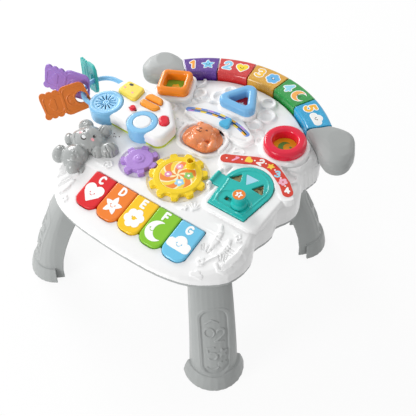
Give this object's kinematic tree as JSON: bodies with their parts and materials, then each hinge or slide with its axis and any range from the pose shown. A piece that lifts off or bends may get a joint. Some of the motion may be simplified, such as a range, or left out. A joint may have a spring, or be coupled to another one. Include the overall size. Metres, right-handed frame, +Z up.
{
  "type": "activity table",
  "caption": "Toddler activity table on plug-in channel legs, with piano keys, number keys round a grip, meshing gears, shape rings, a peep door and a console with toy keys.",
  "frame": {"origin": "on the floor under the middle of the whole object", "axes": "+X to the player's right, +Y towards the back with the number keys, +Z up"},
  "size_m": [0.5923, 0.5106, 0.3126],
  "materials": {
    "shell_white": "smooth white moulded plastic with a soft gloss",
    "leg_grey": "satin mid grey moulded plastic",
    "number_purple": "translucent glitter purple",
    "number_red": "translucent glitter red",
    "number_gold": "translucent glitter gold",
    "number_green": "translucent glitter green",
    "number_blue": "translucent glitter blue",
    "piano_red": "glossy red",
    "piano_orange": "glossy orange",
    "piano_yellow": "glossy yellow",
    "piano_green": "glossy lime green",
    "piano_blue": "glossy pale blue",
    "steel": "plain steel wire and screws",
    "gear_yellow": "glossy yellow",
    "gear_lilac": "glossy lilac",
    "axle_white": "plain white moulded pins",
    "door_teal": "glossy teal",
    "window_blue": "pale blue pane",
    "card": "printed picture card",
    "ring_orange": "glossy orange",
    "ring_blue": "glossy light blue",
    "ring_red": "glossy raspberry red",
    "floor_green": "green printed disc",
    "floor_red": "red printed disc",
    "floor_yellow": "yellow printed disc",
    "label_red": "printed red strip",
    "slider_blue": "glossy blue",
    "puppy_orange": "translucent orange",
    "base_lime": "glossy lime green",
    "console_blue": "glossy light blue",
    "speaker_dark": "dark speaker cone and frame",
    "lens_white": "clear-topped white button",
    "button_yellow": "glossy yellow",
    "button_orange": "glossy orange",
    "button_red": "glossy red",
    "key_orange": "semi-gloss orange",
    "key_purple": "semi-gloss purple",
    "key_teal": "semi-gloss teal",
    "board_green": "green circuit board",
    "battery_grey": "matte grey",
    "cell_black": "dark wrapped cells",
    "contact_metal": "plated spring contacts"
  },
  "bodies": {
    "housing": {"top_shell": "shell_white", "bottom_cover": "leg_grey", "leg_front_right": "leg_grey", "leg_front_left": "leg_grey", "leg_back_right": "leg_grey", "leg_back_left": "leg_grey", "grip_core": "leg_grey", "grip_cap_right": "leg_grey", "grip_cap_left": "leg_grey", "piano_rod": "steel", "gear_axles": "axle_white", "door_hinge_pin": "steel", "door_picture_card": "card", "square_ring": "ring_orange", "triangle_ring": "ring_blue", "round_ring": "ring_red", "square_floor": "floor_green", "triangle_floor": "floor_red", "round_floor": "floor_yellow", "roof_label": "label_red", "bear_cub": "leg_grey", "console_base": "base_lime", "console_body": "shell_white", "speaker_housing": "console_blue", "speaker_driver": "speaker_dark", "lens_ring": "console_blue", "key_ring": "console_blue", "circuit_board": "board_green", "battery_door": "battery_grey", "batteries": "cell_black", "battery_contacts": "contact_metal", "housing_screws": "steel"},
    "number_key_1": {"number_key_1": "number_purple"},
    "number_key_2": {"number_key_2": "number_red"},
    "number_key_3": {"number_key_3": "number_gold"},
    "number_key_4": {"number_key_4": "number_green"},
    "number_key_5": {"number_key_5": "number_blue"},
    "piano_key_1": {"piano_key_1": "piano_red"},
    "piano_key_2": {"piano_key_2": "piano_orange"},
    "piano_key_3": {"piano_key_3": "piano_yellow"},
    "piano_key_4": {"piano_key_4": "piano_green"},
    "piano_key_5": {"piano_key_5": "piano_blue"},
    "gear_large": {"gear_large": "gear_yellow"},
    "gear_small": {"gear_small": "gear_lilac"},
    "door": {"door": "door_teal", "door_window": "window_blue"},
    "lock_knob": {"door_lock_knob": "door_teal", "door_lock_foot": "door_teal"},
    "slider_knob": {"slider_knob": "slider_blue"},
    "puppy_button": {"puppy_button": "puppy_orange"},
    "square_button": {"square_button": "button_yellow"},
    "split_button_upper": {"split_button_upper": "button_orange"},
    "split_button_lower": {"split_button_lower": "button_orange"},
    "oval_button": {"oval_button": "button_red"},
    "lens_button": {"lens_button": "lens_white"},
    "volume_switch": {"volume_switch": "button_red"},
    "toy_key_orange": {"toy_key_orange": "key_orange"},
    "toy_key_purple": {"toy_key_purple": "key_purple"},
    "toy_key_teal": {"toy_key_teal": "key_teal"}
  },
  "joints": [
    {"name": "number_key_1_press", "type": "slide", "parent": "housing", "child": "number_key_1", "axis": [0, 0.0872, -0.9962], "range_m": [0, 0.003], "stiffness_N_per_m": 400, "springref_m": -0.004},
    {"name": "number_key_2_press", "type": "slide", "parent": "housing", "child": "number_key_2", "axis": [0, 0.0872, -0.9962], "range_m": [0, 0.003], "stiffness_N_per_m": 400, "springref_m": -0.004},
    {"name": "number_key_3_press", "type": "slide", "parent": "housing", "child": "number_key_3", "axis": [0, 0.0872, -0.9962], "range_m": [0, 0.003], "stiffness_N_per_m": 400, "springref_m": -0.004},
    {"name": "number_key_4_press", "type": "slide", "parent": "housing", "child": "number_key_4", "axis": [0, 0.0872, -0.9962], "range_m": [0, 0.003], "stiffness_N_per_m": 400, "springref_m": -0.004},
    {"name": "number_key_5_press", "type": "slide", "parent": "housing", "child": "number_key_5", "axis": [0, 0.0872, -0.9962], "range_m": [0, 0.003], "stiffness_N_per_m": 400, "springref_m": -0.004},
    {"name": "piano_key_1_press", "type": "hinge", "parent": "housing", "child": "piano_key_1", "pos_m": [-0.046, -0.13089, 0.22911], "axis": [1, 0, 0], "range_deg": [0, 3], "stiffness_Nm_per_rad": 1, "springref_deg": -4.58},
    {"name": "piano_key_2_press", "type": "hinge", "parent": "housing", "child": "piano_key_2", "pos_m": [0.002, -0.13089, 0.22911], "axis": [1, 0, 0], "range_deg": [0, 3], "stiffness_Nm_per_rad": 1, "springref_deg": -4.58},
    {"name": "piano_key_3_press", "type": "hinge", "parent": "housing", "child": "piano_key_3", "pos_m": [0.05, -0.13089, 0.22911], "axis": [1, 0, 0], "range_deg": [0, 3], "stiffness_Nm_per_rad": 1, "springref_deg": -4.58},
    {"name": "piano_key_4_press", "type": "hinge", "parent": "housing", "child": "piano_key_4", "pos_m": [0.098, -0.13089, 0.22911], "axis": [1, 0, 0], "range_deg": [0, 3], "stiffness_Nm_per_rad": 1, "springref_deg": -4.58},
    {"name": "piano_key_5_press", "type": "hinge", "parent": "housing", "child": "piano_key_5", "pos_m": [0.146, -0.13089, 0.22911], "axis": [1, 0, 0], "range_deg": [0, 3], "stiffness_Nm_per_rad": 1, "springref_deg": -4.58},
    {"name": "gear_large_spin", "type": "hinge", "parent": "housing", "child": "gear_large", "pos_m": [0.059, -0.05994, 0.24161], "axis": [0, -0.0872, 0.9962], "continuous": true},
    {"name": "gear_small_spin", "type": "hinge", "parent": "housing", "child": "gear_small", "pos_m": [-0.02096, -0.06887, 0.24082], "axis": [0, -0.0872, 0.9962], "continuous": true},
    {"name": "door_hinge", "type": "hinge", "parent": "housing", "child": "door", "pos_m": [0.116, -0.02995, 0.25447], "axis": [0, -0.9962, -0.0872], "range_deg": [0, 105]},
    {"name": "lock_slide", "type": "slide", "parent": "door", "child": "lock_knob", "axis": [-1, 0, 0], "range_m": [0, 0.024]},
    {"name": "slider_turn", "type": "hinge", "parent": "housing", "child": "slider_knob", "pos_m": [0.042, -0.04868, 0.25062], "axis": [0, -0.0872, 0.9962], "range_deg": [-16, 30]},
    {"name": "puppy_button_press", "type": "slide", "parent": "housing", "child": "puppy_button", "axis": [0, 0.0872, -0.9962], "range_m": [0, 0.002], "stiffness_N_per_m": 400, "springref_m": -0.004},
    {"name": "square_button_press", "type": "slide", "parent": "housing", "child": "square_button", "axis": [0, 0.0872, -0.9962], "range_m": [0, 0.002], "stiffness_N_per_m": 250, "springref_m": -0.003},
    {"name": "split_button_upper_press", "type": "slide", "parent": "housing", "child": "split_button_upper", "axis": [0, 0.0872, -0.9962], "range_m": [0, 0.002], "stiffness_N_per_m": 250, "springref_m": -0.003},
    {"name": "split_button_lower_press", "type": "slide", "parent": "housing", "child": "split_button_lower", "axis": [0, 0.0872, -0.9962], "range_m": [0, 0.002], "stiffness_N_per_m": 250, "springref_m": -0.003},
    {"name": "oval_button_press", "type": "slide", "parent": "housing", "child": "oval_button", "axis": [0, 0.0872, -0.9962], "range_m": [0, 0.002], "stiffness_N_per_m": 250, "springref_m": -0.003},
    {"name": "lens_button_press", "type": "slide", "parent": "housing", "child": "lens_button", "axis": [0, 0.0872, -0.9962], "range_m": [0, 0.002], "stiffness_N_per_m": 250, "springref_m": -0.003},
    {"name": "volume_slide", "type": "slide", "parent": "housing", "child": "volume_switch", "axis": [1, 0, 0], "range_m": [-0.005, 0.005]},
    {"name": "toy_key_orange_swing", "type": "hinge", "parent": "housing", "child": "toy_key_orange", "pos_m": [-0.20634, -0.01478, 0.26764], "axis": [-0.809, 0.5855, 0.0512], "range_deg": [-35, 38]},
    {"name": "toy_key_purple_swing", "type": "hinge", "parent": "housing", "child": "toy_key_purple", "pos_m": [-0.21923, 0.00167, 0.26908], "axis": [-0.3746, 0.9237, 0.0808], "range_deg": [-80, 45]},
    {"name": "toy_key_teal_swing", "type": "hinge", "parent": "housing", "child": "toy_key_teal", "pos_m": [-0.21871, 0.03124, 0.27167], "axis": [0.4067, 0.9101, 0.0796], "range_deg": [-65, 60]}
  ],
  "couplings": [
    {"joint": "gear_small_spin", "follows": "gear_large_spin", "ratio": -1.5714}
  ]
}
